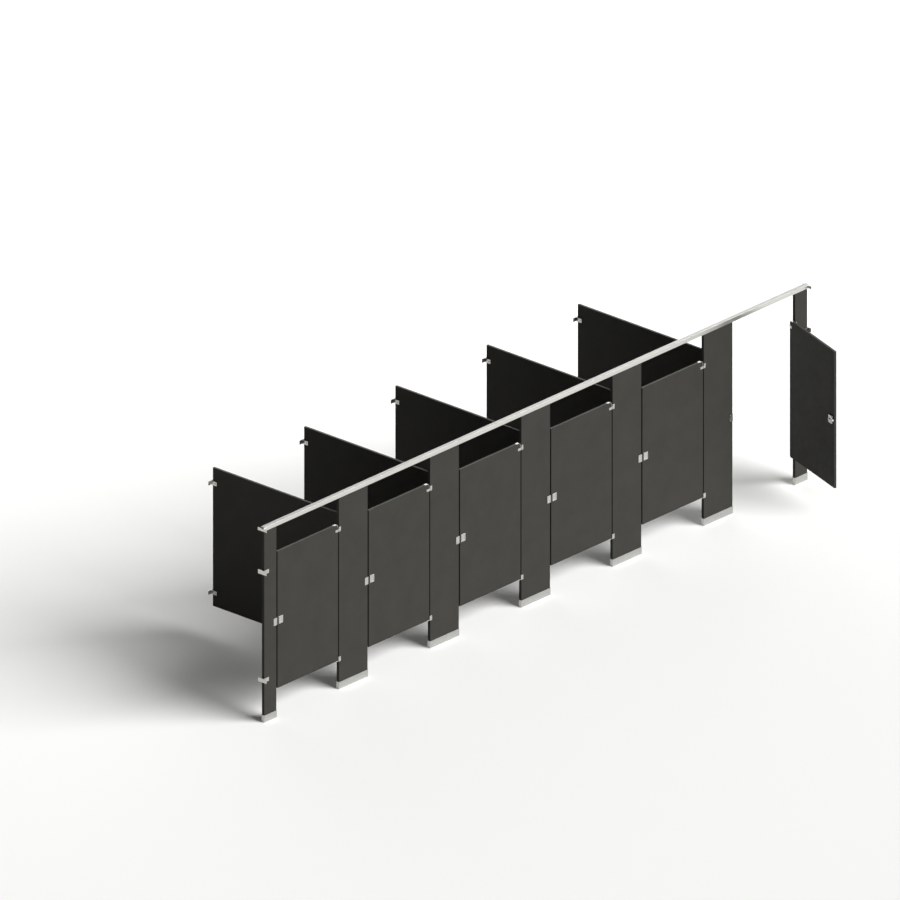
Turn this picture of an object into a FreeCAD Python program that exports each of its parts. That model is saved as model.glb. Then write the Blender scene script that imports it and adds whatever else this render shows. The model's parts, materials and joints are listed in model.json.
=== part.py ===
import FreeCAD, Part
import math
import os

# An overhead-braced row of toilet compartments: pilasters on floor shoes, one headrail over them,
# divider panels between the compartments and a pivoted door with a slide latch in each opening.
# Millimetres. +X runs along the row, +Y from the doors to the back wall, +Z up.
# The origin is on the floor under the middle of the row, on the pilasters' mid-plane.

V = FreeCAD.Vector
UP = V(0, 0, 1)
TINY = 1e-6

# Row
STALLS = 6
DOOR_WIDTH = 886.0
DOOR_HEIGHT = 1463.0
PANEL_THICKNESS = 25.4
FLOOR_GAP = 305.0
HEAD_GAP = 280.0
HINGE_GAP = 9.0
LATCH_GAP = 20.0
PILASTER_WIDTH = 419.0
END_PILASTER_WIDTH = 178.0
PILASTER_THICKNESS = 31.8
END_WALL_GAP = 13.0
EDGE_BREAK = 1.0
ROUND_FLAT = 6.0
ROUND_SIDES = 12
OPEN_DOOR = STALLS
OPEN_ANGLE = 71.5

# Dividers
DIVIDER_LENGTH = 1765.0
DIVIDER_RISE = 18.0
DIVIDER_SHIFT = -37.0
DIVIDER_FRONT_GAP = 13.0
DIVIDER_WALL_GAP = 25.0

# Headrail
RAIL_WALL = 2.4
RAIL_SEAT = 28.0
RAIL_SKIRT = 44.0
RAIL_RISE = 4.0
RAIL_RIDGE_ROUND = 2.5
RAIL_FIT = 0.4
RAIL_END_GAP = 4.0

# Floor anchorage
SHOE_HEIGHT = 76.0
SHOE_WALL = 1.2
SHOE_CLEARANCE = 2.8
SHOE_ROUND = 4.0
SHOE_FIT = 0.3
PLATE_THICKNESS = 6.0
ANCHOR_INSET = 40.0
ANCHOR_HOLE_RADIUS = 5.5
STUD_INSET = 70.0
STUD_RADIUS = 6.0
STUD_SOCKET = 60.0
STUD_SOCKET_FIT = 0.5
LEVELLING_SPACE = 45.0

# Stirrup brackets
STIRRUP_WALL = 3.2
STIRRUP_LEG = 78.0
STIRRUP_EAR = 36.0
STIRRUP_HEIGHT = 42.0
BRACKET_RISE = 145.0
BRACKET_DROP = 165.0
END_BRACKET_DROP = 162.0
RAIL_BRACKET_LEG = 44.0
RAIL_BRACKET_HEIGHT = 30.0

# Hinges
SHEET = 2.5
HINGE_INSET = 20.0
HINGE_FLANGE = 25.0
HINGE_HEIGHT = 51.0
HINGE_DROP = 29.0
HINGE_ROUND = 5.0
LUG_HEIGHT = 14.0
LUG_WIDTH = 18.0
LUG_REACH = 9.0
LUG_END_ROUND = 6.0
LUG_CLEARANCE = 0.5
LUG_END_CLEARANCE = 1.5
CASTING_WEB = 5.5
CASTING_WALL = 2.5
CHEEK_WIDTH = 41.0
CHEEK_OVERHANG = 5.5
CHEEK_ROUND = 4.0
CAP_RUN = 58.0
CAP_WALL = 3.0
CORNER_ROUND = 30.0
LOWER_CORNER_ROUND = 12.0
TOP_PIN_RADIUS = 4.0
PIVOT_PIN_RADIUS = 5.0
PIN_FIT = 0.02
PIN_RUN = 0.06
ARM_THICKNESS = 4.5
ARM_WIDTH = 20.0
ARM_REACH = 14.0
ARM_END_ROUND = 8.0
BUSH_FLANGE = 2.5
BUSH_FLANGE_WIDTH = 22.0
BUSH_WIDTH = 16.0
BUSH_DEPTH = 40.0
BUSH_END = 4.0
PIN_END_GAP = 1.0
LOWER_FLANGE_HEIGHT = 51.0
LOWER_FLANGE_OVERHANG = 8.0

# Latch and keeper
LATCH_HEIGHT = 1027.0
BOLT_HEIGHT = 22.0
BOLT_THICKNESS = 6.0
BOLT_LENGTH = 80.0
BOLT_SETBACK = 4.0
BOLT_TRAVEL = 36.0
BOLT_RUN = 1.1
BOLT_FIT = 0.4
BOLT_ROUND = 5.0
CASE_SETBACK = 24.0
CASE_WIDTH = 70.0
CASE_HEIGHT = 82.0
CASE_WALL = 2.0
CASE_ROUND = 7.0
CASE_BEVEL = 2.5
GUIDE_RIB = 2.5
GUIDE_LAP = 3.0
KNOB_STEM_RADIUS = 4.0
KNOB_STEM_INSET = 10.0
KNOB_RADIUS = 10.0
KNOB_LENGTH = 10.0
KNOB_BEVEL = 2.5
KNOB_RUN = 0.6
PLATE_SETBACK = 17.0
PLATE_WIDTH = 61.0
PLATE_HEIGHT = 82.0
LATCH_PLATE_THICKNESS = 3.0
PLATE_ROUND = 6.0
PLATE_BEVEL = 0.8
PLATE_RIM = 11.0
PLATE_RECESS = 1.6
KEEPER_FLANGE = 41.0
KEEPER_HEIGHT = 78.0
KEEPER_OVERLAP = 5.0
KEEPER_ROUND = 4.0
LOOP_WALL = 3.0
LOOP_WIDTH = 20.0
LOOP_INSET = 2.0
BUMPER_START = 7.0
BUMPER_WALL = 0.8
BUMPER_CLEARANCE = 0.3

# Worked out from the sizes above
OPENING = DOOR_WIDTH + HINGE_GAP + LATCH_GAP
PITCH = OPENING + PILASTER_WIDTH
DOOR_TOP = FLOOR_GAP + DOOR_HEIGHT
DIVIDER_TOP = DOOR_TOP + DIVIDER_RISE
RAIL_BOTTOM = DOOR_TOP + HEAD_GAP
PILASTER_TOP = RAIL_BOTTOM + RAIL_SEAT
ROW_END = STALLS * PITCH / 2 - PILASTER_WIDTH / 2 + END_PILASTER_WIDTH
SIDE_WALL = ROW_END + END_WALL_GAP
PILASTER_BACK = PILASTER_THICKNESS / 2
STUD_TOP = LEVELLING_SPACE + STUD_SOCKET
DIVIDER_FRONT = PILASTER_BACK + DIVIDER_FRONT_GAP
DIVIDER_BACK = DIVIDER_FRONT + DIVIDER_LENGTH
BACK_WALL = DIVIDER_BACK + DIVIDER_WALL_GAP
RAIL_WIDTH = PILASTER_THICKNESS + 2 * (RAIL_FIT + RAIL_WALL)
DOOR_FACE = PANEL_THICKNESS / 2
HINGE_EDGE = HINGE_INSET
FREE_EDGE = HINGE_INSET - DOOR_WIDTH
HINGE_TOP = DOOR_TOP - HINGE_DROP
HINGE_BOTTOM = HINGE_TOP - HINGE_HEIGHT
CASTING_HEIGHT = LUG_HEIGHT + 2 * (LUG_CLEARANCE + CASTING_WEB)
CASTING_TOP = HINGE_BOTTOM + CASTING_HEIGHT
LUG_BOTTOM = HINGE_BOTTOM + CASTING_WEB + LUG_CLEARANCE
NOTCH_END = -(LUG_REACH + LUG_END_CLEARANCE + CASTING_WALL)
ARM_TOP = FLOOR_GAP - BUSH_FLANGE
ARM_BOTTOM = ARM_TOP - ARM_THICKNESS
PIVOT_PIN_TOP = FLOOR_GAP + BUSH_DEPTH - BUSH_END - PIN_END_GAP
AXIS_FROM_EDGE = HINGE_GAP + HINGE_INSET
BOLT_BACK = PILASTER_BACK + SHEET + BOLT_RUN
BOLT_FRONT = BOLT_BACK + BOLT_THICKNESS
CASE_FACE = BOLT_FRONT + BOLT_FIT + CASE_WALL


def rounded_face(corners, lift):
    """A flat face through (a, b, radius) corners; lift turns (a, b) into a point in space.

    A rounded corner is drawn as a few flats, because most of these pieces repeat many times."""
    points = [V(a, b, 0) for a, b, _ in corners]
    outline = []
    for i, (_, _, radius) in enumerate(corners):
        here = points[i]
        if not radius:
            outline.append(here)
            continue
        before = (points[i - 1] - here).normalize()
        after = (points[(i + 1) % len(points)] - here).normalize()
        half = before.getAngle(after) / 2
        along = radius / math.tan(half)
        middle = here + (before + after).normalize() * (radius / math.sin(half) - radius)
        arc = Part.Arc(here + before * along, middle, here + after * along).toShape()
        outline += arc.discretize(max(2, round(radius / ROUND_FLAT)) + 1)
    apart = [p for i, p in enumerate(outline) if p.distanceToPoint(outline[i - 1]) > TINY]
    lifted = [lift(p.x, p.y) for p in apart]
    return Part.Face(Part.makePolygon(lifted + lifted[:1]))


def prism(corners, axis, start, end):
    """Extrudes a rounded outline along x, y or z; its (a, b) are the other two directions, in order."""
    lift = {
        "x": lambda a, b: V(start, a, b),
        "y": lambda a, b: V(a, start, b),
        "z": lambda a, b: V(a, b, start),
    }[axis]
    along = {"x": V(1, 0, 0), "y": V(0, 1, 0), "z": UP}[axis]
    return rounded_face(corners, lift).extrude(along * (end - start))


def rectangle(a0, a1, b0, b1, radius=0.0):
    return [(a0, b0, radius), (a1, b0, radius), (a1, b1, radius), (a0, b1, radius)]


def inside_circle(radius, a, b):
    """A round outline with a few flats whose corners lie on the circle, for a pin."""
    turns = [2 * math.pi * i / ROUND_SIDES for i in range(ROUND_SIDES)]
    return [(a + radius * math.cos(t), b + radius * math.sin(t), 0.0) for t in turns]


def outside_circle(radius, a, b):
    """A round outline with a few flats that touch the circle from outside, for a bore."""
    return inside_circle(radius / math.cos(math.pi / ROUND_SIDES), a, b)


def rim(solid, axis, level):
    """The edges that lie wholly in the plane at this level along x, y or z."""
    index = "xyz".index(axis)
    return [e for e in solid.Edges if all(abs(v.Point[index] - level) < TINY for v in e.Vertexes)]


def panel(corners, axis, middle, thickness):
    """A flat-faced panel with a broken edge all round both faces."""
    low = middle - thickness / 2
    high = middle + thickness / 2
    blank = prism(corners, axis, low, high)
    return blank.makeChamfer(EDGE_BREAK, rim(blank, axis, low) + rim(blank, axis, high))


def save(name, *solids):
    shape = solids[0] if len(solids) == 1 else Part.makeCompound(list(solids))
    shape.exportStep(f"parts/{name}.step")


# Places along the row

def pilaster_centre(number):
    """The middle of pilaster 0 to STALLS; the two end ones are narrower and end the row."""
    if number in (0, STALLS):
        return math.copysign(ROW_END - END_PILASTER_WIDTH / 2, number - STALLS / 2)
    return (number - STALLS / 2) * PITCH


def pilaster_width(number):
    return END_PILASTER_WIDTH if number in (0, STALLS) else PILASTER_WIDTH


def opening_left(stall):
    return (stall - 1 - STALLS / 2) * PITCH + PILASTER_WIDTH / 2


def opening_right(stall):
    return opening_left(stall) + OPENING


def hinge_axis(stall):
    return opening_right(stall) - AXIS_FROM_EDGE


def hang(solid, stall):
    """Carries a solid of a door, made shut about its hinge axis, to its opening."""
    turn = OPEN_ANGLE if stall == OPEN_DOOR else 0.0
    hung = solid.copy()
    hung.Placement = FreeCAD.Placement(V(hinge_axis(stall), 0, 0), FreeCAD.Rotation(UP, turn))
    return hung


def stop_side(stall):
    """-1 where the door is stopped on the outside and swings in, +1 where it swings out."""
    return 1 if stall == OPEN_DOOR else -1


# Pilasters, their shoes and their anchorage

def anchor_places(width, inset):
    return (-(width / 2 - inset), width / 2 - inset)


def stud_places(number):
    width = pilaster_width(number)
    return [pilaster_centre(number) + x for x in anchor_places(width, STUD_INSET)]


def pilaster(number):
    centre = pilaster_centre(number)
    half = pilaster_width(number) / 2
    outline = rectangle(centre - half, centre + half, LEVELLING_SPACE, PILASTER_TOP)
    body = panel(outline, "y", 0, PILASTER_THICKNESS)
    side = STUD_RADIUS + STUD_SOCKET_FIT
    for x in stud_places(number):
        socket = rectangle(x - side, x + side, -side, side)
        body = body.cut(prism(socket, "z", LEVELLING_SPACE, STUD_TOP))
    return body


def shoe(number):
    centre = pilaster_centre(number)
    inner_x = pilaster_width(number) / 2 + SHOE_CLEARANCE
    inner_y = PILASTER_BACK + SHOE_CLEARANCE
    outer_x = inner_x + SHOE_WALL
    outer_y = inner_y + SHOE_WALL
    outside = rectangle(centre - outer_x, centre + outer_x, -outer_y, outer_y, SHOE_ROUND)
    inside = rectangle(centre - inner_x, centre + inner_x, -inner_y, inner_y, SHOE_ROUND - SHOE_WALL)
    return prism(outside, "z", 0, SHOE_HEIGHT).cut(prism(inside, "z", 0, SHOE_HEIGHT))


def floor_plate(number):
    centre = pilaster_centre(number)
    half_x = pilaster_width(number) / 2 + SHOE_CLEARANCE - SHOE_FIT
    half_y = PILASTER_BACK + SHOE_CLEARANCE - SHOE_FIT
    outline = rectangle(centre - half_x, centre + half_x, -half_y, half_y, SHOE_ROUND)
    plate = prism(outline, "z", 0, PLATE_THICKNESS)
    for x in anchor_places(pilaster_width(number), ANCHOR_INSET):
        plate = plate.cut(Part.makeCylinder(ANCHOR_HOLE_RADIUS, PLATE_THICKNESS, V(centre + x, 0, 0)))
    return plate


def levelling_stud(x):
    """Stands on the floor plate and carries the pilaster on its tip."""
    return prism(inside_circle(STUD_RADIUS, x, 0), "z", PLATE_THICKNESS, STUD_TOP)


# Headrail: a channel over the pilaster tops, with a closed chamber above that slopes a little to the front

def headrail():
    half = RAIL_WIDTH / 2
    slot = half - RAIL_WALL
    skirt = RAIL_BOTTOM + RAIL_SKIRT
    ridge = skirt + RAIL_RISE
    web = PILASTER_TOP + RAIL_WALL
    slope = RAIL_RISE / RAIL_WIDTH
    chamber_front = skirt + slope * RAIL_WALL - RAIL_WALL * math.hypot(1, slope)
    chamber_back = chamber_front + slope * 2 * slot
    outline = [
        (-half, RAIL_BOTTOM, 0.0),
        (-slot, RAIL_BOTTOM, 0.0),
        (-slot, PILASTER_TOP, 0.0),
        (slot, PILASTER_TOP, 0.0),
        (slot, RAIL_BOTTOM, 0.0),
        (half, RAIL_BOTTOM, 0.0),
        (half, ridge, RAIL_RIDGE_ROUND),
        (-half, skirt, RAIL_RIDGE_ROUND),
    ]
    chamber = [
        (-slot, web, 0.0),
        (slot, web, 0.0),
        (slot, chamber_back, 0.0),
        (-slot, chamber_front, 0.0),
    ]
    end = SIDE_WALL - RAIL_END_GAP
    return prism(outline, "x", -end, end).cut(prism(chamber, "x", -end, end))


# Dividers and the stirrup brackets that hold panels to walls and pilasters

def divider_middle(number):
    return pilaster_centre(number) + DIVIDER_SHIFT


def divider(number):
    outline = rectangle(DIVIDER_FRONT, DIVIDER_BACK, FLOOR_GAP, DIVIDER_TOP)
    return panel(outline, "x", divider_middle(number), PANEL_THICKNESS)


def bracket_heights():
    return (FLOOR_GAP + BRACKET_RISE, DIVIDER_TOP - BRACKET_DROP)


def stirrup(thickness, leg, height):
    """Two legs on a flat base with an ear each side; the base is at y = 0 and the legs point to -y."""
    gap = thickness / 2
    leg_side = gap + STIRRUP_WALL
    ear = leg_side + STIRRUP_EAR
    outline = [
        (-ear, 0.0, 0.0),
        (-ear, -STIRRUP_WALL, 0.0),
        (-leg_side, -STIRRUP_WALL, 0.0),
        (-leg_side, -leg, 0.0),
        (-gap, -leg, 0.0),
        (-gap, -STIRRUP_WALL, 0.0),
        (gap, -STIRRUP_WALL, 0.0),
        (gap, -leg, 0.0),
        (leg_side, -leg, 0.0),
        (leg_side, -STIRRUP_WALL, 0.0),
        (ear, -STIRRUP_WALL, 0.0),
        (ear, 0.0, 0.0),
    ]
    return prism(outline, "z", -height / 2, height / 2)


def put(solid, x, y, z, turn):
    placed = solid.copy()
    placed.Placement = FreeCAD.Placement(V(x, y, z), FreeCAD.Rotation(UP, turn))
    return placed


def divider_brackets():
    """Brackets on the back wall, then those on the backs of the pilasters, facing them."""
    pattern = stirrup(PANEL_THICKNESS, STIRRUP_LEG, STIRRUP_HEIGHT)
    brackets = []
    for number in range(1, STALLS):
        for z in bracket_heights():
            brackets.append(put(pattern, divider_middle(number), BACK_WALL, z, 0))
            brackets.append(put(pattern, divider_middle(number), PILASTER_BACK, z, 180))
    return brackets


def end_pilaster_brackets():
    pattern = stirrup(PILASTER_THICKNESS, STIRRUP_LEG, STIRRUP_HEIGHT)
    heights = (FLOOR_GAP + BRACKET_RISE, DOOR_TOP - END_BRACKET_DROP)
    return [put(pattern, side * SIDE_WALL, 0, z, -90 * side) for side in (-1, 1) for z in heights]


def headrail_end_brackets():
    pattern = stirrup(RAIL_WIDTH, RAIL_BRACKET_LEG, RAIL_BRACKET_HEIGHT)
    middle = RAIL_BOTTOM + RAIL_BRACKET_HEIGHT / 2
    return [put(pattern, side * SIDE_WALL, 0, middle, -90 * side) for side in (-1, 1)]


# Hinges: brackets wrapped round the pilaster's edge, with a lug or an arm that reaches the hinge axis

def wrap(reach, over_front, over_back, bottom, top, rounding):
    """A strip bent round a pilaster's edge at x = 0, with the pilaster towards +x.

    Each flange may run past the edge, over the gap, by more than the strip's own thickness."""
    near = PILASTER_BACK
    far = near + SHEET
    outline = [
        (-over_front, -far, 0.0),
        (reach, -far, 0.0),
        (reach, -near, 0.0),
        (0.0, -near, 0.0),
        (0.0, near, 0.0),
        (reach, near, 0.0),
        (reach, far, 0.0),
        (-over_back, far, 0.0),
        (-over_back, near, 0.0),
        (-SHEET, near, 0.0),
        (-SHEET, -near, 0.0),
        (-over_front, -near, 0.0),
    ]
    corners = [c for i, c in enumerate(outline) if c != outline[i - 1]]
    strip = prism(corners, "z", bottom, top)
    left = -max(over_front, over_back)
    mask = [(left, bottom, 0.0), (reach, bottom, rounding), (reach, top, rounding), (left, top, 0.0)]
    return strip.common(prism(mask, "y", -far, far))


def strap(reach, width, rounding):
    """An outline from inside the strip, past the hinge axis by this reach, to a rounded end."""
    end = -AXIS_FROM_EDGE - reach
    root = -SHEET / 2
    side = width / 2
    return [(end, -side, rounding), (root, -side, 0.0), (root, side, 0.0), (end, side, rounding)]


def top_hinge_bracket():
    strip = wrap(HINGE_FLANGE, SHEET, SHEET, HINGE_BOTTOM, HINGE_TOP, HINGE_ROUND)
    lug_top = LUG_BOTTOM + LUG_HEIGHT
    lug = prism(strap(LUG_REACH, LUG_WIDTH, LUG_END_ROUND), "z", LUG_BOTTOM, lug_top)
    bore = prism(outside_circle(TOP_PIN_RADIUS + PIN_FIT, -AXIS_FROM_EDGE, 0), "z", LUG_BOTTOM, lug_top)
    return strip.fuse(lug).cut(bore).removeSplitter()


def bottom_hinge_bracket():
    top = ARM_BOTTOM + LOWER_FLANGE_HEIGHT
    strip = wrap(HINGE_FLANGE, LOWER_FLANGE_OVERHANG, SHEET, ARM_BOTTOM, top, HINGE_ROUND)
    arm = prism(strap(ARM_REACH, ARM_WIDTH, ARM_END_ROUND), "z", ARM_BOTTOM, ARM_TOP)
    bore = prism(outside_circle(PIVOT_PIN_RADIUS + PIN_FIT, -AXIS_FROM_EDGE, 0), "z", ARM_BOTTOM, ARM_TOP)
    return strip.fuse(arm).cut(bore).removeSplitter()


def hinge_pins(stall):
    x = hinge_axis(stall)
    top_pin = prism(inside_circle(TOP_PIN_RADIUS, x, 0), "z", HINGE_BOTTOM, CASTING_TOP)
    pivot_pin = prism(inside_circle(PIVOT_PIN_RADIUS, x, 0), "z", ARM_BOTTOM, PIVOT_PIN_TOP)
    return [top_pin, pivot_pin]


# Doors, made shut with the hinge axis at x = 0 and the free edge towards -x

def corner_cap():
    """The metal cap along the door's top edge, round its hinge corner and down its hinge edge to the casting."""
    start = HINGE_EDGE - CAP_RUN
    inside = HINGE_EDGE - CAP_WALL
    outline = [
        (start, DOOR_TOP, 0.0),
        (start, DOOR_TOP - CAP_WALL, 0.0),
        (inside, DOOR_TOP - CAP_WALL, CORNER_ROUND - CAP_WALL),
        (inside, CASTING_TOP, 0.0),
        (HINGE_EDGE, CASTING_TOP, 0.0),
        (HINGE_EDGE, DOOR_TOP, CORNER_ROUND),
    ]
    return prism(outline, "y", -DOOR_FACE, DOOR_FACE)


def top_hinge_casting(side):
    """The door's half of the top hinge: cap, jaws round the pilaster's lug and a cheek on the stop side.

    The cheek hangs over the gap at the door's edge, short of the pilaster's bracket."""
    jaw_end = NOTCH_END + CASTING_WALL
    jaws = [
        (HINGE_EDGE, HINGE_BOTTOM, 0.0),
        (HINGE_EDGE, HINGE_BOTTOM + CASTING_WEB, 0.0),
        (jaw_end, HINGE_BOTTOM + CASTING_WEB, 0.0),
        (jaw_end, CASTING_TOP - CASTING_WEB, 0.0),
        (HINGE_EDGE, CASTING_TOP - CASTING_WEB, 0.0),
        (HINGE_EDGE, CASTING_TOP, 0.0),
        (NOTCH_END, CASTING_TOP, 0.0),
        (NOTCH_END, HINGE_BOTTOM, 0.0),
    ]
    cheek_end = HINGE_EDGE + CHEEK_OVERHANG
    cheek = [
        (HINGE_EDGE - CHEEK_WIDTH, HINGE_BOTTOM, CHEEK_ROUND),
        (cheek_end, HINGE_BOTTOM, 0.0),
        (cheek_end, CASTING_TOP, 0.0),
        (HINGE_EDGE - CHEEK_WIDTH, CASTING_TOP, CHEEK_ROUND),
    ]
    cheek_faces = sorted((side * DOOR_FACE, side * (DOOR_FACE + SHEET)))
    body = prism(jaws, "y", -DOOR_FACE, DOOR_FACE).fuse([prism(cheek, "y", *cheek_faces), corner_cap()])
    bore = prism(outside_circle(TOP_PIN_RADIUS + PIN_RUN, 0, 0), "z", HINGE_BOTTOM, CASTING_TOP)
    return body.cut(bore).removeSplitter()


def square(width):
    return rectangle(-width / 2, width / 2, -width / 2, width / 2)


def pivot_bush():
    """A nylon bush with a square shank, which can't turn in the door, and a flange that bears on the arm."""
    top = FLOOR_GAP + BUSH_DEPTH
    flange = prism(square(BUSH_FLANGE_WIDTH), "z", ARM_TOP, FLOOR_GAP)
    shank = prism(square(BUSH_WIDTH), "z", FLOOR_GAP, top)
    bore = prism(outside_circle(PIVOT_PIN_RADIUS + PIN_RUN, 0, 0), "z", ARM_TOP, top - BUSH_END)
    return flange.fuse(shank).cut(bore)


def door():
    outline = [
        (FREE_EDGE, FLOOR_GAP, 0.0),
        (HINGE_EDGE, FLOOR_GAP, LOWER_CORNER_ROUND),
        (HINGE_EDGE, DOOR_TOP, CORNER_ROUND),
        (FREE_EDGE, DOOR_TOP, 0.0),
    ]
    notch = prism(rectangle(NOTCH_END, HINGE_EDGE, HINGE_BOTTOM, CASTING_TOP), "y", -DOOR_FACE, DOOR_FACE)
    socket = prism(square(BUSH_WIDTH), "z", FLOOR_GAP, FLOOR_GAP + BUSH_DEPTH)
    return panel(outline, "y", 0, PANEL_THICKNESS).cut([notch, corner_cap(), socket])


# Slide latch on the door and its keeper on the pilaster

def about_latch(a0, a1, height, radius=0.0):
    return rectangle(a0, a1, LATCH_HEIGHT - height / 2, LATCH_HEIGHT + height / 2, radius)


def knob_rest():
    """The knob's place along the door, near the tail of the bolt."""
    return FREE_EDGE + BOLT_SETBACK + BOLT_LENGTH - KNOB_STEM_INSET


def latch_case():
    """A hollow case, open towards the door, with a channel inside that guides the bolt on all sides."""
    left = FREE_EDGE + CASE_SETBACK
    right = left + CASE_WIDTH
    inner_right = right - CASE_WALL
    inner_face = CASE_FACE - CASE_WALL
    blank = prism(about_latch(left, right, CASE_HEIGHT, CASE_ROUND), "y", DOOR_FACE, CASE_FACE)
    shell = blank.makeChamfer(CASE_BEVEL, rim(blank, "y", CASE_FACE))
    hollow = about_latch(left + CASE_WALL, inner_right, CASE_HEIGHT - 2 * CASE_WALL, CASE_ROUND - CASE_WALL)
    shell = shell.cut(prism(hollow, "y", DOOR_FACE, inner_face))
    run_height = BOLT_HEIGHT + 2 * BOLT_FIT
    run_back = BOLT_BACK - BOLT_FIT
    guide_back = run_back - GUIDE_RIB
    guide = prism(about_latch(left, inner_right, run_height + 2 * GUIDE_RIB), "y", guide_back, inner_face)
    run = prism(about_latch(left, inner_right, run_height), "y", run_back, inner_face)
    back_slot = prism(about_latch(left, inner_right, run_height - 2 * GUIDE_LAP), "y", guide_back, run_back)
    half = KNOB_STEM_RADIUS + KNOB_RUN
    knob_slot = about_latch(knob_rest() - BOLT_TRAVEL - half, knob_rest() + half, 2 * half, half)
    knob_way = prism(knob_slot, "y", inner_face, CASE_FACE)
    return shell.fuse(guide).cut([run, back_slot, knob_way]).removeSplitter()


def latch_bolt():
    """The flat bolt, drawn back, and the knob on its tail."""
    tip = FREE_EDGE + BOLT_SETBACK
    tail = tip + BOLT_LENGTH
    low = LATCH_HEIGHT - BOLT_HEIGHT / 2
    high = LATCH_HEIGHT + BOLT_HEIGHT / 2
    outline = [(tip, low, BOLT_ROUND), (tail, low, 0.0), (tail, high, 0.0), (tip, high, BOLT_ROUND)]
    bar = prism(outline, "y", BOLT_BACK, BOLT_FRONT)
    neck = CASE_FACE + KNOB_RUN
    end = neck + KNOB_LENGTH
    stem = prism(inside_circle(KNOB_STEM_RADIUS, knob_rest(), LATCH_HEIGHT), "y", BOLT_FRONT, neck)
    blank = prism(inside_circle(KNOB_RADIUS, knob_rest(), LATCH_HEIGHT), "y", neck, end)
    knob = stem.fuse(blank.makeChamfer(KNOB_BEVEL, rim(blank, "y", end)))
    return [bar, knob]


def latch_plate():
    """The outside plate, with a shallow recess that gives the fingers a pull."""
    left = FREE_EDGE + PLATE_SETBACK
    right = left + PLATE_WIDTH
    face = -DOOR_FACE - LATCH_PLATE_THICKNESS
    blank = prism(about_latch(left, right, PLATE_HEIGHT, PLATE_ROUND), "y", face, -DOOR_FACE)
    plate = blank.makeChamfer(PLATE_BEVEL, rim(blank, "y", face))
    recess = about_latch(left + PLATE_RIM, right - PLATE_RIM, PLATE_HEIGHT - 2 * PLATE_RIM, PLATE_ROUND)
    return plate.cut(prism(recess, "y", face, face + PLATE_RECESS))


def keeper(stall):
    """Wraps the pilaster's edge: one flange laps the door as a stop and a loop on the back takes the bolt."""
    lap = LATCH_GAP + KEEPER_OVERLAP
    over_front, over_back = (lap, SHEET) if stop_side(stall) < 0 else (SHEET, lap)
    low = LATCH_HEIGHT - KEEPER_HEIGHT / 2
    strip = wrap(KEEPER_FLANGE, over_back, over_front, low, low + KEEPER_HEIGHT, KEEPER_ROUND)
    foot = PILASTER_BACK + SHEET
    inside = BOLT_FRONT + BOLT_RUN
    gap = BOLT_HEIGHT / 2 + BOLT_RUN
    arch = [
        (-foot, LATCH_HEIGHT - gap - LOOP_WALL, 0.0),
        (-inside - LOOP_WALL, LATCH_HEIGHT - gap - LOOP_WALL, LOOP_WALL),
        (-inside - LOOP_WALL, LATCH_HEIGHT + gap + LOOP_WALL, LOOP_WALL),
        (-foot, LATCH_HEIGHT + gap + LOOP_WALL, 0.0),
        (-foot, LATCH_HEIGHT + gap, 0.0),
        (-inside, LATCH_HEIGHT + gap, 0.0),
        (-inside, LATCH_HEIGHT - gap, 0.0),
        (-foot, LATCH_HEIGHT - gap, 0.0),
    ]
    loop = prism(arch, "x", LOOP_INSET, LOOP_INSET + LOOP_WIDTH)
    return put(strip.fuse(loop).removeSplitter(), opening_left(stall), 0, 0, 180)


def keeper_bumper(stall):
    """A rubber sleeve over the edge of the keeper's stop flange; its inner side takes the door's knock."""
    left = opening_left(stall)
    side = stop_side(stall)
    start = left + BUMPER_START
    lip = left + LATCH_GAP + KEEPER_OVERLAP
    end = lip + BUMPER_WALL
    inside = side * (DOOR_FACE + BUMPER_CLEARANCE)
    near = side * PILASTER_BACK
    far = near + side * SHEET
    outside = far + side * BUMPER_WALL
    outline = [
        (start, inside, 0.0),
        (end, inside, 0.0),
        (end, outside, 0.0),
        (start, outside, 0.0),
        (start, far, 0.0),
        (lip, far, 0.0),
        (lip, near, 0.0),
        (start, near, 0.0),
    ]
    low = LATCH_HEIGHT - KEEPER_HEIGHT / 2
    return prism(outline, "z", low, low + KEEPER_HEIGHT)


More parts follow.
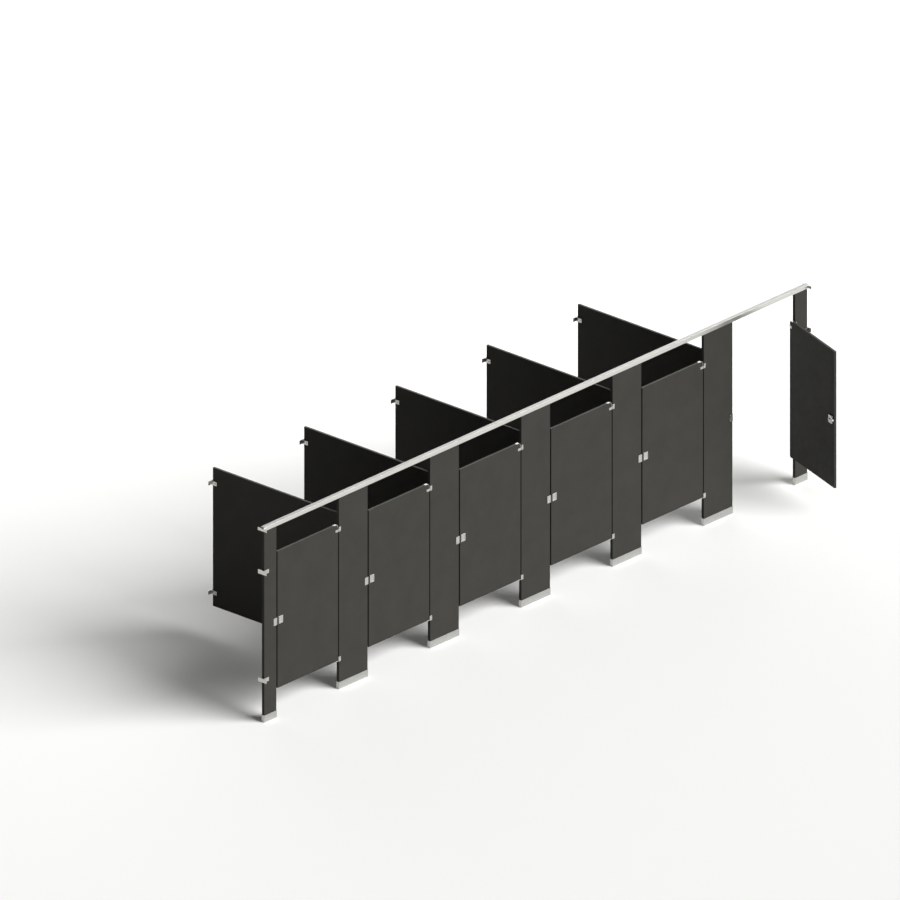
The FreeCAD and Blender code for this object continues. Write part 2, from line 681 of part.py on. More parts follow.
def main():
    os.makedirs("parts", exist_ok=True)
    pilasters = range(STALLS + 1)
    stalls = range(1, STALLS + 1)
    for number in pilasters:
        save(f"pilaster_{number + 1}", pilaster(number))
    studs = [x for number in pilasters for x in stud_places(number)]
    save("pilaster_shoes", *[shoe(number) for number in pilasters])
    save("floor_plates", *[floor_plate(number) for number in pilasters])
    save("levelling_studs", *[levelling_stud(x) for x in studs])
    save("headrail", headrail())
    save("headrail_end_brackets", *headrail_end_brackets())
    for number in range(1, STALLS):
        save(f"divider_{number}", divider(number))
    save("divider_brackets", *divider_brackets())
    save("end_pilaster_brackets", *end_pilaster_brackets())
    upper = top_hinge_bracket()
    lower = bottom_hinge_bracket()
    save("top_hinge_brackets", *[put(upper, opening_right(k), 0, 0, 0) for k in stalls])
    save("bottom_hinge_brackets", *[put(lower, opening_right(k), 0, 0, 0) for k in stalls])
    save("hinge_pins", *[pin for k in stalls for pin in hinge_pins(k)])
    save("keepers", *[keeper(k) for k in stalls])
    save("keeper_bumpers", *[keeper_bumper(k) for k in stalls])
    castings = {side: top_hinge_casting(side) for side in (-1, 1)}
    pieces = {
        "pivot_bush": [pivot_bush()],
        "latch_case": [latch_case()],
        "latch_plate": [latch_plate()],
        "latch_bolt": latch_bolt(),
        "door": [door()],
    }
    for k in stalls:
        save(f"top_hinge_casting_{k}", hang(castings[stop_side(k)], k))
        for name, solids in pieces.items():
            save(f"{name}_{k}", *[hang(solid, k) for solid in solids])
    print(f"row {2 * SIDE_WALL:.0f} mm between walls, {BACK_WALL:.0f} mm deep, pitch {PITCH:.0f} mm")


main()
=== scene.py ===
# %% [markdown]
# # A row of toilet compartments
# The real object is a row of flat panels: narrow uprights called pilasters, doors hung between them,
# dividers behind them and one aluminium rail along the top. The solids already have the true shapes, so
# this lesson gives each of them the surface it has in use, and adds the screws and nuts that hold it
# together. All lengths are in metres.

# %% Load the solids
import json
import math

import bpy
import numpy as np
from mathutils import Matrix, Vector


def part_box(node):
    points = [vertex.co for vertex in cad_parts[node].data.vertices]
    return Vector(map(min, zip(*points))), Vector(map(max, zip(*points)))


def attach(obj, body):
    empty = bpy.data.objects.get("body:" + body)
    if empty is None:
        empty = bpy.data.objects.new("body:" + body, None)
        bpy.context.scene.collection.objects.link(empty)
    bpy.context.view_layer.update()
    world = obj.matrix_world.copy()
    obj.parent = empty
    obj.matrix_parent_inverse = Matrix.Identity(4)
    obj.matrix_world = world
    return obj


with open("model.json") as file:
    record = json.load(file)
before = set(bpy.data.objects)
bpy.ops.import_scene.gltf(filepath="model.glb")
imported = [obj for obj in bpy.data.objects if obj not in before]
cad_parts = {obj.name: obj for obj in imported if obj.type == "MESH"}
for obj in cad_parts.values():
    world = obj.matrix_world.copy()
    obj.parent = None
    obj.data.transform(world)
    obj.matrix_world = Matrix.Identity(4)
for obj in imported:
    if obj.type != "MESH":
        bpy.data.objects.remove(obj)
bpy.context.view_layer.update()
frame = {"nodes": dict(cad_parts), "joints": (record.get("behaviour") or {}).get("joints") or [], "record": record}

nodes = frame["nodes"]
record = frame["record"]
scene = bpy.context.scene

# %% [markdown]
# ## Places
# Screws go where the brackets are. Their places could be typed in, but worked out from the solids they
# follow any change there. The record gives the fixing points and the hinge axes, and the boxes of the
# panels give the faces. A door that is drawn open has a joint range that starts below zero, by the angle
# it stands open.

# %% Measure the solids
DOORS = range(1, 1 + len([name for name in nodes if name.startswith("door_")]))
swing = {k: next(j for j in frame["joints"] if j["name"] == f"door_{k}_swing") for k in DOORS}
hinge_x = {k: swing[k]["pos_m"][0] for k in DOORS}
open_angle = {k: math.radians(-swing[k]["range_deg"][0]) for k in DOORS}
mounts = {m["name"]: m for m in record["mounts"]}
pilasters = [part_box(f"pilaster_{n}") for n in range(1, len(DOORS) + 2)]
pilaster_back = pilasters[1][1].y
rail_low, rail_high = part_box("headrail")
door_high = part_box("door_1")[1]
door_face = door_high.y
hinge_edge = door_high.x - hinge_x[1]
print("doors:", len(DOORS), "open by", [round(math.degrees(a), 1) for a in open_angle.values()])

# %% [markdown]
# ## Colours
# Colours are written as sRGB hex values, but light adds up linearly, so one function converts them.
# Patterns have a real size in millimetres, and another function turns that into the scale of a noise.

# %% Colour and scale


def linear(hex_colour):
    """sRGB to linear light: c / 12.92 below 0.04045, else ((c + 0.055) / 1.055) ** 2.4."""
    c = np.array([int(hex_colour[i:i + 2], 16) for i in (1, 3, 5)]) / 255
    return (*np.where(c <= 0.04045, c / 12.92, ((c + 0.055) / 1.055) ** 2.4).tolist(), 1.0)


def per_metre(size_mm):
    """A noise texture's scale is its features per metre: 1000 / the size of one in millimetres."""
    return 1000.0 / size_mm


print("half-bright grey is", round(linear("#808080")[0], 3), "in linear light")

# %% [markdown]
# ## Nodes
# A finish is a small tree of nodes. One function adds any kind of node, sets what is even all over and
# links the rest, so that a finish reads from top to bottom. A noise keeps mostly between 0.3 and 0.7, so
# that span is stretched wherever a noise is to vary something fully. A Mix node has sockets for numbers,
# vectors and colours, and the colour ones are known by their numbers.

# %% Build finishes from nodes
NOISE_SPAN = {"From Min": 0.3, "From Max": 0.7}
MIX_SHARE, MIX_FIRST, MIX_SECOND, MIXED = 0, 6, 7, 2


def add(tree, kind, inputs=(), output=0, **settings):
    """Adds a node; each input is set to a value or linked from an output. Gives back one output."""
    node = tree.nodes.new(kind)
    for name, value in settings.items():
        setattr(node, name, value)
    for socket, value in dict(inputs).items():
        if isinstance(value, bpy.types.NodeSocket):
            tree.links.new(value, node.inputs[socket])
        else:
            node.inputs[socket].default_value = value
    return node.outputs[output]


def new_finish(name, **sockets):
    """A material whose even values are set straight on its shader's sockets."""
    material = bpy.data.materials.new(name)
    material.use_nodes = True
    shader = material.node_tree.nodes["Principled BSDF"]
    for socket, value in sockets.items():
        shader.inputs[socket.replace("_", " ")].default_value = value
    return material, material.node_tree, shader


def vary(tree, shader, **sources):
    """Links each source to the shader's socket of that name."""
    for socket, source in sources.items():
        tree.links.new(source, shader.inputs[socket.replace("_", " ")])


print("noise is stretched from", list(NOISE_SPAN.values()))

# %% [markdown]
# ## Powder coat
# The panels are steel skins over a honeycomb core, coated with black polyester powder that is melted on.
# To the eye it is a dull satin black, a shade warm. It could be one flat colour, but melting leaves a
# faint orange-peel ripple of about 3 mm. That is finer than a pixel of the whole view, so a broad
# unevenness of 90 and 240 mm is added, as wiping leaves. Faces that look up are painted greyer, a painted
# highlight that stands in for the light falling on the upper edges from above.

# %% Black powder-coated steel
HAZE_MM, WIPE_MM, PEEL_MM = 240, 90, 3
COAT_DARK, COAT_LIGHT, COAT_TOP_LIT = "#2C2B28", "#2F2E2B", "#464641"
COAT_ROUGHNESS = {"To Min": 0.46, "To Max": 0.56}
TOP_LIGHT_SPAN = {"From Min": 0.55, "From Max": 0.95}
PEEL_STRENGTH, PEEL_HEIGHT = 0.12, 0.0004


def powder_coat():
    """Colour is a mix by haze, then painted lighter by how far the face looks up, as light from above; wiping
    varies the roughness.
    """
    material, tree, shader = new_finish("powder_coated_steel_black", IOR=1.5, Specular_IOR_Level=0.06)
    place = add(tree, "ShaderNodeTexCoord", output="Object")
    haze = add(tree, "ShaderNodeTexNoise", {"Vector": place, "Scale": per_metre(HAZE_MM), "Detail": 3.0})
    wipe = add(tree, "ShaderNodeTexNoise", {"Vector": place, "Scale": per_metre(WIPE_MM), "Detail": 4.0})
    peel = add(tree, "ShaderNodeTexNoise", {"Vector": place, "Scale": per_metre(PEEL_MM), "Detail": 2.0})
    share = add(tree, "ShaderNodeMapRange", {"Value": haze, **NOISE_SPAN})
    blend = {MIX_SHARE: share, MIX_FIRST: linear(COAT_DARK), MIX_SECOND: linear(COAT_LIGHT)}
    clean = add(tree, "ShaderNodeMix", blend, MIXED, data_type="RGBA")
    # Painted light: faces that look up are mixed towards a greyer colour, a painted highlight from above.
    normal = add(tree, "ShaderNodeNewGeometry", output="Normal")
    upward = add(tree, "ShaderNodeSeparateXYZ", {"Vector": normal}, output="Z")
    top_light = add(tree, "ShaderNodeMapRange", {"Value": upward, **TOP_LIGHT_SPAN})
    blend = {MIX_SHARE: top_light, MIX_FIRST: clean, MIX_SECOND: linear(COAT_TOP_LIT)}
    top_lit = add(tree, "ShaderNodeMix", blend, MIXED, data_type="RGBA")
    rough = add(tree, "ShaderNodeMapRange", {"Value": wipe, **NOISE_SPAN, **COAT_ROUGHNESS})
    ripple = {"Strength": PEEL_STRENGTH, "Distance": PEEL_HEIGHT, "Height": peel}
    vary(tree, shader, Base_Color=top_lit, Roughness=rough, Normal=add(tree, "ShaderNodeBump", ripple))
    return material


finishes = {"panel_coat": powder_coat()}
print("panels:", finishes["panel_coat"].name)

# %% [markdown]
# ## Metals
# Hinges, latches, keepers and brackets are satin stainless steel and zinc castings, which give blurred,
# pale reflections. The rail is clear anodised aluminium, drawn through a die that leaves fine lines along
# it. The shoes are stainless sheet with a brushed grain that runs along them. What is hidden in the shoes
# is zinc plated, with a cloudy spangle. Grain could be a picture of scratches, but noise that is stretched
# along one direction has no edges and no repeats. Real brush lines are about 0.1 mm apart, which is too
# fine to show, so they are drawn about 1 mm apart.

# %% Metal finishes
CLOUD_MM = 60
TWO_NOISES_SPAN = {"From Min": 0.6, "From Max": 1.4}
SMOOTHER, COARSER = 0.04, 0.05
GRAIN_HEIGHT = 0.0002


def grained_metal(name, dark, light, roughness, grain_mm, run_mm, along, ripple=0.1):
    """Noise that is grain_mm across and run_mm along x, y or z varies colour, roughness and height.

    Ripple is the strength of the height; a drawn bar is smoother than a brushed or cast surface."""
    material, tree, shader = new_finish(name, Metallic=1.0)
    place = add(tree, "ShaderNodeTexCoord", output="Object")
    scale = [per_metre(grain_mm)] * 3
    scale["xyz".index(along)] = per_metre(run_mm)
    stretched = add(tree, "ShaderNodeMapping", {"Vector": place, "Scale": scale})
    grain = add(tree, "ShaderNodeTexNoise", {"Vector": stretched, "Scale": 1.0, "Detail": 3.0})
    cloud = add(tree, "ShaderNodeTexNoise", {"Vector": place, "Scale": per_metre(CLOUD_MM), "Detail": 2.0})
    share = add(tree, "ShaderNodeMapRange", {"Value": grain, **NOISE_SPAN})
    blend = {MIX_SHARE: share, MIX_FIRST: linear(dark), MIX_SECOND: linear(light)}
    colour = add(tree, "ShaderNodeMix", blend, MIXED, data_type="RGBA")
    both = add(tree, "ShaderNodeMath", {0: grain, 1: cloud}, operation="ADD")
    span = {**TWO_NOISES_SPAN, "To Min": roughness - SMOOTHER, "To Max": roughness + COARSER}
    rough = add(tree, "ShaderNodeMapRange", {"Value": both, **span})
    height = add(tree, "ShaderNodeBump", {"Strength": ripple, "Distance": GRAIN_HEIGHT, "Height": grain})
    vary(tree, shader, Base_Color=colour, Roughness=rough, Normal=height)
    return material


finishes["hardware_metal"] = grained_metal("satin_stainless_steel", "#B5B4B0", "#C7C6C2", roughness=0.26,
                                           grain_mm=0.8, run_mm=5, along="z")
finishes["rail_aluminium"] = grained_metal("anodised_aluminium", "#C8C7C3", "#D1D0CC", roughness=0.30,
                                           grain_mm=1.2, run_mm=900, along="x", ripple=0.02)
finishes["shoe_steel"] = grained_metal("brushed_stainless_sheet", "#A9A9A7", "#BBBBB8", roughness=0.28,
                                       grain_mm=0.7, run_mm=160, along="x")
finishes["plated_steel"] = grained_metal("zinc_plated_steel", "#A9A8A0", "#C6C4BA", roughness=0.42,
                                         grain_mm=4, run_mm=4, along="z")
print("metals:", [finishes[slot].name for slot in list(finishes)[1:]])

# %% [markdown]
# ## Nylon and rubber
# The pivot bushes are moulded natural nylon, milky with a soft shine. The sleeves on the keepers are black
# moulded rubber with a dry, dusty surface. Both are small, so one mottle that varies colour and shine
# together is enough.

# %% Moulded finishes
SHINE_SPREAD = 0.06


def moulded(name, dark, light, roughness, mottle_mm, ior):
    """A plastic or rubber; a noise of this size in millimetres varies colour and roughness together."""
    material, tree, shader = new_finish(name, IOR=ior)
    place = add(tree, "ShaderNodeTexCoord", output="Object")
    grit = {"Vector": place, "Scale": per_metre(mottle_mm), "Detail": 3.0}
    mottle = add(tree, "ShaderNodeTexNoise", grit)
    blend = {MIX_SHARE: mottle, MIX_FIRST: linear(dark), MIX_SECOND: linear(light)}
    colour = add(tree, "ShaderNodeMix", blend, MIXED, data_type="RGBA")
    span = {**NOISE_SPAN, "To Min": roughness - SHINE_SPREAD, "To Max": roughness + SHINE_SPREAD}
    rough = add(tree, "ShaderNodeMapRange", {"Value": mottle, **span})
    vary(tree, shader, Base_Color=colour, Roughness=rough)
    return material


finishes["nylon"] = moulded("moulded_nylon", "#D9D5C8", "#E6E2D6", roughness=0.48, mottle_mm=8, ior=1.53)
finishes["bumper_rubber"] = moulded("moulded_rubber_black", "#161616", "#232322", roughness=0.82,
                                    mottle_mm=2, ior=1.52)
print("moulded:", finishes["nylon"].name, finishes["bumper_rubber"].name)

# %% [markdown]
# ## Dress the solids
# The record says which finish each solid takes. A solid keeps its shape and its place, and only the
# material in its slot is changed.

# %% Give every solid its finish
for entry in record["subparts"]:
    slots = nodes[entry["node"]].data.materials
    slots.clear()
    slots.append(finishes[entry["material_slot"]])
print("finishes:", len(finishes), "on", len(record["subparts"]), "solids")

# %% [markdown]
# ## Rings
# Screw heads and nuts are outlines carried along an axis. An outline is round or a hexagon, and both can
# share the same twelve points, because a hexagon is a circle whose radius swells towards its corners.
# There are hundreds of heads, so each has only a few dozen faces.

# %% A surface from rings
AROUND = 12


def rings_surface(rings, closed=False):
    """Rings (radius, height, is hexagon) joined by quads; closed joins the last ring to the first.

    A point is r(t) (cos t, sin t) at its height; on a hexagon r(t) is apothem / cos(angle from a flat)."""
    turn = np.arange(AROUND) * 2 * np.pi / AROUND
    half_side = np.pi / 6
    swell = 1 / np.cos((turn + half_side) % (2 * half_side) - half_side)
    spread = np.array([r * (swell if hexagon else np.ones(AROUND)) for r, _, hexagon in rings])
    height = np.repeat([h for _, h, _ in rings], AROUND).reshape(spread.shape)
    points = np.stack([spread * np.cos(turn), spread * np.sin(turn), height], axis=-1).reshape(-1, 3)
    ring, step = np.meshgrid(np.arange(len(rings) - (not closed)), np.arange(AROUND), indexing="ij")
    low = ring * AROUND
    high = (ring + 1) % len(rings) * AROUND
    following = (step + 1) % AROUND
    quads = np.stack([low + step, low + following, high + following, high + step], axis=-1)
    return points, quads.reshape(-1, 4)


print("a ring has", AROUND, "points")

# %% [markdown]
# ## Screw heads
# Partitions are fixed with low round heads that have a hexagon socket, so that they can't be undone with
# a coin. A head could be a cylinder with a bevel and a cut, but five rings give the dome and the socket
# at once.

# %% The pattern of one head
SEAT = 0.0002
RIM_RISE, SHOULDER_RISE, SOCKET_FLOOR = 0.3, 0.85, 0.4
SHOULDER_SHARE = 0.8


def head(radius, height, socket):
    """A low dome with a hexagon socket; it is let a little into its seat, and both ends are closed.

    The rim's, shoulder's and socket floor's levels are shares of the height."""
    rings = [(radius, -SEAT, False), (radius, RIM_RISE * height, False),
             (SHOULDER_SHARE * radius, SHOULDER_RISE * height, False),
             (socket, height, True), (socket, SOCKET_FLOOR * height, True)]
    points, quads = rings_surface(rings)
    ends = np.array([np.arange(AROUND)[::-1], np.arange(len(points) - AROUND, len(points))])
    return points, [quads, ends]


screw = head(radius=0.0062, height=0.0036, socket=0.0022)
bolt = head(radius=0.0080, height=0.0036, socket=0.0030)
small = head(radius=0.0044, height=0.0026, socket=0.0017)
tiny = head(radius=0.0036, height=0.0022, socket=0.0014)
print("one head has", sum(len(faces) for faces in screw[1]), "faces")

# %% [markdown]
# ## Many heads in one mesh
# Each kind of screw is one piece. Its heads could be separate objects, but one mesh is quicker to draw.
# The pattern is turned to every normal and moved to every place in one array sum, so there is no loop
# over points.

# %% Stamp a pattern
FRONT, BACK, UP = [0.0, -1.0, 0.0], [0.0, 1.0, 0.0], [0.0, 0.0, 1.0]
NEARLY_UPRIGHT = 0.9


def facing(normals):
    """For each unit normal n, a turn whose columns are two directions across n, and n itself."""
    n = np.asarray(normals, float)
    helper = np.where(np.abs(n[:, 2:3]) > NEARLY_UPRIGHT, [[1.0, 0.0, 0.0]], [UP])
    across = np.cross(helper, n)
    across /= np.linalg.norm(across, axis=1, keepdims=True)
    return np.stack([across, np.cross(n, across), n], axis=-1)


def stamp(name, body, pattern, places, normals, slot="hardware_metal"):
    """One mesh with the pattern's points p at every place c and normal n: c + turn(n) p."""
    points, groups = pattern
    normals = np.resize(np.asarray(normals, float), (len(places), 3))
    moved = np.einsum("nij,pj->npi", facing(normals), points) + np.asarray(places, float)[:, None, :]
    shift = np.arange(len(places))[:, None, None] * len(points)
    shifted = [(group[None] + shift).reshape(-1, group.shape[1]) for group in groups]
    faces = [face for group in shifted for face in group.tolist()]
    mesh = bpy.data.meshes.new(name)
    mesh.from_pydata(moved.reshape(-1, 3).tolist(), [], faces)
    mesh.materials.append(finishes[slot])
    piece = bpy.data.objects.new(name, mesh)
    scene.collection.objects.link(piece)
    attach(piece, body)
    print(name, len(places))


print("a turn is", facing([FRONT]).shape[1:])

# %% [markdown]
# ## Screws in the brackets' ears
# Every stirrup bracket has a screw in each ear. The record's mounts give the places of the brackets that
# hold the row at its sides and its back. The brackets on the pilasters are level with those at the
# dividers' far ends, so their screws are the same ones moved to the pilasters' back.

# %% Ear screws
STIRRUP_SHEET = 0.0032
STIRRUP_EAR = 0.036
at_back = [m for name, m in mounts.items() if name.startswith("back_wall")]
at_sides = [m for name, m in mounts.items() if name.startswith(("left_wall", "right_wall"))]
end_brackets = [m for m in at_sides if not m["name"].endswith("headrail")]
rail_brackets = [m for m in at_sides if m["name"].endswith("headrail")]


def ear_screws(bracket, half):
    """The middles of both ears: half a panel, the sheet and half an ear out from the bracket's middle."""
    axis = np.array(bracket["axis"], float)
    across = np.abs(axis[[1, 0, 2]])
    out = half + STIRRUP_SHEET + STIRRUP_EAR / 2
    middle = np.array(bracket["pos_m"]) - axis * STIRRUP_SHEET
    return [middle - across * out, middle + across * out], [-axis, -axis]


held = [(m, door_face) for m in at_back]
held += [(m, pilaster_back) for m in end_brackets] + [(m, rail_high.y) for m in rail_brackets]
ear_places, ear_normals = (np.concatenate(group) for group in zip(*[ear_screws(*pair) for pair in held]))
stamp("wall_screws", "row_frame", screw, ear_places, ear_normals)

pilaster_places = ear_places[:2 * len(at_back)].copy()
pilaster_places[:, 1] = pilaster_back + STIRRUP_SHEET
stamp("pilaster_screws", "row_frame", screw, pilaster_places, BACK)

# %% [markdown]
# ## Bolts through the panels
# One bolt goes through both legs of each bracket and the panel between them. Its shaft can't be seen, so
# only the heads are made, one on each side.

# %% Through-bolts
LEFT, RIGHT = [-1.0, 0.0, 0.0], [1.0, 0.0, 0.0]
BOTH_WAYS = (-1, 1)
STIRRUP_LEG = 0.078
BOLT_FROM_LEG_END = 0.019
bolt_run = STIRRUP_LEG - BOLT_FROM_LEG_END
bolt_rows = (at_back[0]["pos_m"][1] - bolt_run, pilaster_back + bolt_run)
leg = door_face + STIRRUP_SHEET
bolt_places = [[m["pos_m"][0] + way * leg, y, m["pos_m"][2]]
               for m in at_back for y in bolt_rows for way in BOTH_WAYS]
stamp("panel_bolts", "row_frame", bolt, bolt_places, [LEFT, RIGHT])

end_leg = pilaster_back + STIRRUP_SHEET
end_places = [[m["pos_m"][0] - m["axis"][0] * bolt_run, way * end_leg, m["pos_m"][2]]
              for m in end_brackets for way in BOTH_WAYS]
stamp("end_pilaster_bolts", "row_frame", bolt, end_places, [FRONT, BACK])

# %% [markdown]
# ## Screws in the rail and the shoes
# The rail is screwed to each pilaster from behind, low on its skirt, and its end brackets are screwed to
# it. Each shoe has one small screw at the back. All these places follow from the pilasters' boxes.

# %% Rail and shoe screws
SCREW_FROM_EDGE = 0.045
RAIL_SCREW_RISE = 0.014
RAIL_BRACKET_MIDDLE = 0.030
SHOE_SCREW_HEIGHT = 0.022
rail_places = [[x, rail_high.y, rail_low.z + RAIL_SCREW_RISE] for low, high in pilasters
               for x in (low.x + SCREW_FROM_EDGE, high.x - SCREW_FROM_EDGE)]
stamp("rail_screws", "row_frame", screw, rail_places, BACK)

rail_leg = rail_high.y + STIRRUP_SHEET
rail_end_places = [[m["pos_m"][0] - m["axis"][0] * RAIL_BRACKET_MIDDLE, way * rail_leg, m["pos_m"][2]]
                   for m in rail_brackets for way in BOTH_WAYS]
stamp("rail_bracket_screws", "row_frame", screw, rail_end_places, [FRONT, BACK])

shoe_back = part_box("pilaster_shoes")[1].y
shoe_places = [[(low.x + high.x) / 2, shoe_back, SHOE_SCREW_HEIGHT] for low, high in pilasters]
stamp("shoe_screws", "row_frame", small, shoe_places, BACK, slot="shoe_steel")

# %% [markdown]
# ## Anchors and levelling nuts
# Inside each shoe, two bolts hold a plate to the floor and two studs stand on it. On each stud one nut
# locks it to the plate and a second carries the pilaster, so the row can be levelled on an uneven floor.
# A nut is four outlines joined in a loop: a hexagon below and above, and the round bore above and below.

# %% Hidden fixings
MM = 0.001
NUT_APOTHEM = 0.009
NUT_BORE = 0.0062
NUT_HEIGHT = 0.008
STUD_INSET = 0.070
plate_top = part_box("floor_plates")[1].z
anchor = head(radius=0.0105, height=0.0085, socket=0.0045)
anchors = [m for name, m in mounts.items() if name.startswith("floor_anchors")]
anchor_places = [[m["pos_m"][0] + way * m["dims"]["spacing_x_mm"] / 2 * MM, 0.0, plate_top]
                 for m in anchors for way in BOTH_WAYS]
stamp("floor_anchor_bolts", "row_frame", anchor, anchor_places, UP, slot="plated_steel")

outlines = [(NUT_APOTHEM, 0.0, True), (NUT_APOTHEM, NUT_HEIGHT, True),
            (NUT_BORE, NUT_HEIGHT, False), (NUT_BORE, 0.0, False)]
nut_points, nut_quads = rings_surface(outlines, closed=True)
nut_places = [[x, 0.0, z] for low, high in pilasters for x in (low.x + STUD_INSET, high.x - STUD_INSET)
              for z in (plate_top, low.z - NUT_HEIGHT)]
stamp("levelling_nuts", "row_frame", (nut_points, [nut_quads]), nut_places, UP, slot="plated_steel")

# %% [markdown]
# ## Screws in hinges and keepers
# The hinge brackets and keepers clasp the pilaster's edge, so they are screwed from the front and the
# back. The same pattern serves both sides, with two normals that take turns.

# %% Hinge and keeper screws
SHEET = 0.0025
FLANGE_SCREW_X = 0.0145
FLANGE_SCREW_RISES = (0.25, 0.75)
KEEPER_SCREW_X = 0.028
KEEPER_SCREW_RISE = 0.028
flange_face = pilaster_back + SHEET
brackets = [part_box(name) for name in ("top_hinge_brackets", "bottom_hinge_brackets")]
heights = [low.z + rise * (high.z - low.z) for low, high in brackets for rise in FLANGE_SCREW_RISES]
hinge_places = [[low.x + FLANGE_SCREW_X, way * flange_face, z]
                for low, _ in pilasters[1:] for z in heights for way in BOTH_WAYS]
stamp("hinge_screws", "row_frame", small, hinge_places, [FRONT, BACK])

keeper_low, keeper_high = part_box("keepers")
latch_z = (keeper_low.z + keeper_high.z) / 2
keeper_places = [[high.x - KEEPER_SCREW_X, way * flange_face, latch_z + rise] for _, high in pilasters[:-1]
                 for rise in (-KEEPER_SCREW_RISE, KEEPER_SCREW_RISE) for way in BOTH_WAYS]
stamp("keeper_screws", "row_frame", small, keeper_places, [FRONT, BACK])

# %% [markdown]
# ## Screws on the doors
# On the door, the hinge's cheek, the latch plate and the latch case have two screws each, and the corner
# cap has one. They could be placed on each door as it stands, but it is simpler to place them on a shut
# door whose hinge axis is at zero, then turn them by the angle the door stands open and move them to its
# hinge. A door that opens outwards has its cheek on the inside.

# %% Door screws
INSIDE, OUTSIDE = 1.0, -1.0
CHEEK_SCREW_X = 0.034
CHEEK_SCREW_RISES = (0.007, 0.019)
CAP_SCREW_X = 0.044
PLATE_SCREW_RISE = 0.0355
CASE_SCREW_RISE = 0.030
plate_low, plate_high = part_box("latch_plate_1")
case_low, case_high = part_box("latch_case_1")
casting_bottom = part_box("top_hinge_casting_1")[0].z
plate_x = (plate_low.x + plate_high.x) / 2 - hinge_x[1]
case_x = (case_low.x + case_high.x) / 2 - hinge_x[1]


def turned(points, angle):
    """Turns points or directions about the upright axis: (x cos - y sin, x sin + y cos, z)."""
    c, s = math.cos(angle), math.sin(angle)
    return np.asarray(points, float) @ np.array([[c, s, 0.0], [-s, c, 0.0], [0.0, 0.0, 1.0]])


def door_screws(side):
    """Places and normals on a shut door: the cheek (half a panel and the sheet out on its side), the cap
    on the top edge, the plate on the outside and the case on the inside."""
    cheek = side * (door_face + SHEET)
    places = [[hinge_edge - CHEEK_SCREW_X, cheek, casting_bottom + rise] for rise in CHEEK_SCREW_RISES]
    places += [[hinge_edge - CAP_SCREW_X, 0.0, door_high.z]]
    places += [[plate_x, plate_low.y, latch_z + way * PLATE_SCREW_RISE] for way in BOTH_WAYS]
    places += [[case_x, case_high.y, latch_z + way * CASE_SCREW_RISE] for way in BOTH_WAYS]
    return places, [[0.0, side, 0.0]] * 2 + [UP] + [FRONT] * 2 + [BACK] * 2


for k in DOORS:
    places, normals = door_screws(INSIDE if open_angle[k] > 0 else OUTSIDE)
    hung = turned(places, open_angle[k]) + np.array([hinge_x[k], 0.0, 0.0])
    stamp(f"door_{k}_screws", f"swing_door_{k}", tiny, hung, turned(normals, open_angle[k]))

# %% [markdown]
# ## Camera
# The camera sees without perspective, from the left front and above, so that all six doors look the same
# size. The picture is taken to be 900 pixels wide. The row's origin lies a little right of and below its
# middle, so the target is that far back from the origin along the picture's two directions.

# %% Camera
AZIMUTH = math.radians(-47.93)
ELEVATION = math.radians(23.83)
PIXELS_PER_METRE = 102.054
PICTURE = 900.0
ORIGIN_PIXEL = (534.55, 600.65)
CAMERA_DISTANCE = 30.0
CLIP_END = 200.0


def aim(obj, towards):
    """Points an object's -Z along a direction, with +Y as near upright as can be."""
    obj.rotation_euler = Vector(towards).to_track_quat("-Z", "Y").to_euler()


right = np.array([math.cos(AZIMUTH), math.sin(AZIMUTH), 0.0])
up = np.array([-math.sin(AZIMUTH) * math.sin(ELEVATION), math.cos(AZIMUTH) * math.sin(ELEVATION),
               math.cos(ELEVATION)])
towards_camera = np.cross(right, up)
across, down = (np.array(ORIGIN_PIXEL) - PICTURE / 2) / PIXELS_PER_METRE
target = down * up - across * right
camera_data = bpy.data.cameras.new("camera")
camera_data.type = "ORTHO"
camera_data.ortho_scale = PICTURE / PIXELS_PER_METRE
camera_data.clip_end = CLIP_END
camera = bpy.data.objects.new("camera", camera_data)
scene.collection.objects.link(camera)
camera.location = target + towards_camera * CAMERA_DISTANCE
aim(camera, -towards_camera)
scene.camera = camera
scene.view_settings.view_transform = "Standard"
print("camera sees", round(camera_data.ortho_scale, 3), "m")

# %% [markdown]
# ## Floor
# The floor is plain and pale and runs past every edge of the picture, so one large square is enough.

# %% Floor
FLOOR_HALF = 40.0
CORNERS = [(-1, -1), (1, -1), (1, 1), (-1, 1)]
floor_mesh = bpy.data.meshes.new("floor")
floor_mesh.from_pydata([(x * FLOOR_HALF, y * FLOOR_HALF, 0.0) for x, y in CORNERS], [], [(0, 1, 2, 3)])
floor_mesh.materials.append(new_finish("pale_floor", Base_Color=linear("#F1F1EF"), Roughness=0.9)[0])
floor = bpy.data.objects.new("floor", floor_mesh)
scene.collection.objects.link(floor)
print("floor is", 2 * FLOOR_HALF, "m wide")

# %% [markdown]
# ## Sky
# The sky lights the scene only weakly, so that the compartments stay dark. Where it is seen past the
# floor's edge, from low down, so weak a sky would look dark grey. There it is pale grey instead, like
# the backdrop of a studio.

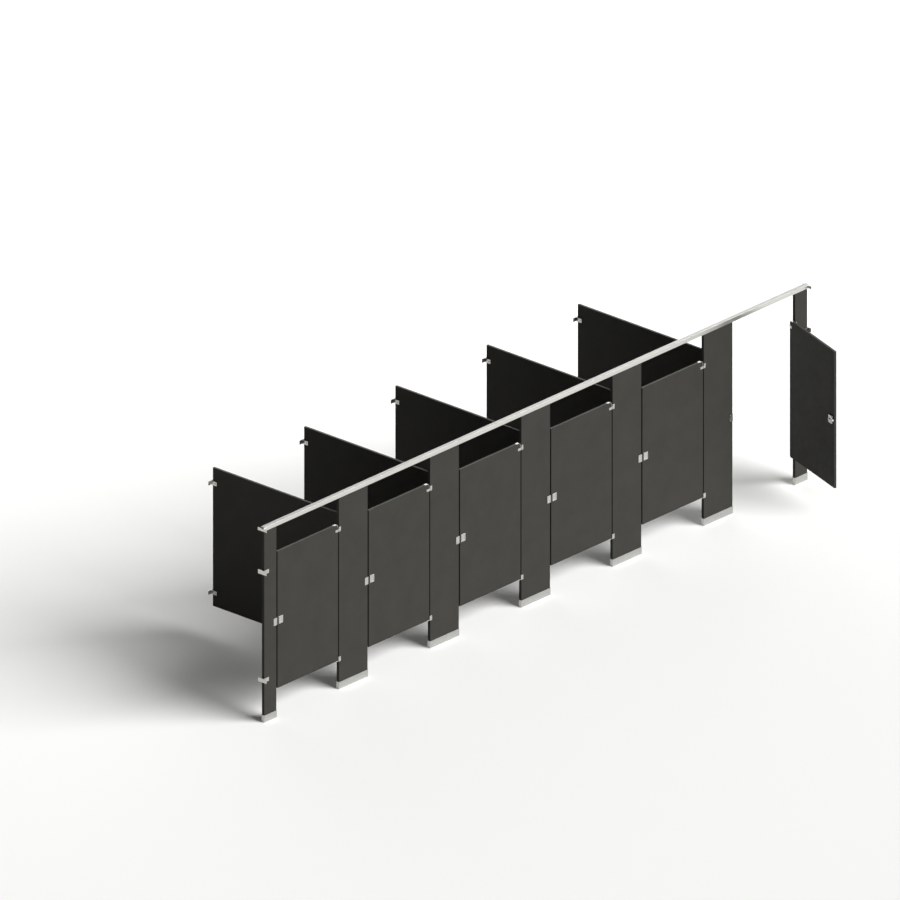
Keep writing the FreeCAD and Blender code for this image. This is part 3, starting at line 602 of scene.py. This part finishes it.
# %% Sky
SKY_LIGHT = 0.06
SKY_SEEN = 0.82
scene.world = bpy.data.worlds.new("pale_sky")
scene.world.use_nodes = True
sky_tree = scene.world.node_tree
sky = sky_tree.nodes["Background"]
sky.inputs["Color"].default_value = linear("#FFFFFF")
seen = add(sky_tree, "ShaderNodeLightPath", output="Is Camera Ray")
strength = add(sky_tree, "ShaderNodeMapRange", {"Value": seen, "To Min": SKY_LIGHT, "To Max": SKY_SEEN})
sky_tree.links.new(strength, sky.inputs["Strength"])
print("sky is", SKY_LIGHT, "as light and", SKY_SEEN, "as seen")

# %% [markdown]
# ## Light
# A broad, low sun from the front and a little from the right lights the doors and leaves the compartments
# dark. A large soft panel of light behind the row stands where the flat top of the rail mirrors it to the
# camera, so the rail's top is as bright as its front. A second panel lights the backs of the doors a
# little.

# %% Light
SUN_WAY = (-0.30, 0.83, -0.47)
SUN_STRENGTH = 6.4
SUN_SPREAD = math.radians(54)
PANEL_DISTANCE = 16.0
PANEL_WATTS = 500.0
PANEL_SIZE = {"shape": "RECTANGLE", "size": 16.0, "size_y": 10.0}
FILL_PLACE = Vector((6.0, 11.0, 4.0))
FILL_WATTS = 600.0
FILL_SIZE = {"shape": "RECTANGLE", "size": 14.0, "size_y": 6.0}


def light(name, kind, energy, towards, place=(0.0, 0.0, 0.0), **settings):
    """Adds a light at a place, pointing along a direction; a sun's place makes no difference."""
    data = bpy.data.lights.new(name, kind)
    data.energy = energy
    for setting, value in settings.items():
        setattr(data, setting, value)
    lamp = bpy.data.objects.new(name, data)
    scene.collection.objects.link(lamp)
    lamp.location = place
    aim(lamp, towards)


mirrored = Vector((-towards_camera[0], -towards_camera[1], towards_camera[2]))
panel_place = Vector((0.0, 0.0, rail_high.z)) + mirrored * PANEL_DISTANCE
light("broad_sun", "SUN", SUN_STRENGTH, SUN_WAY, angle=SUN_SPREAD)
light("soft_panel", "AREA", PANEL_WATTS, -panel_place, panel_place, **PANEL_SIZE)
light("back_fill", "AREA", FILL_WATTS, -FILL_PLACE, FILL_PLACE, **FILL_SIZE)
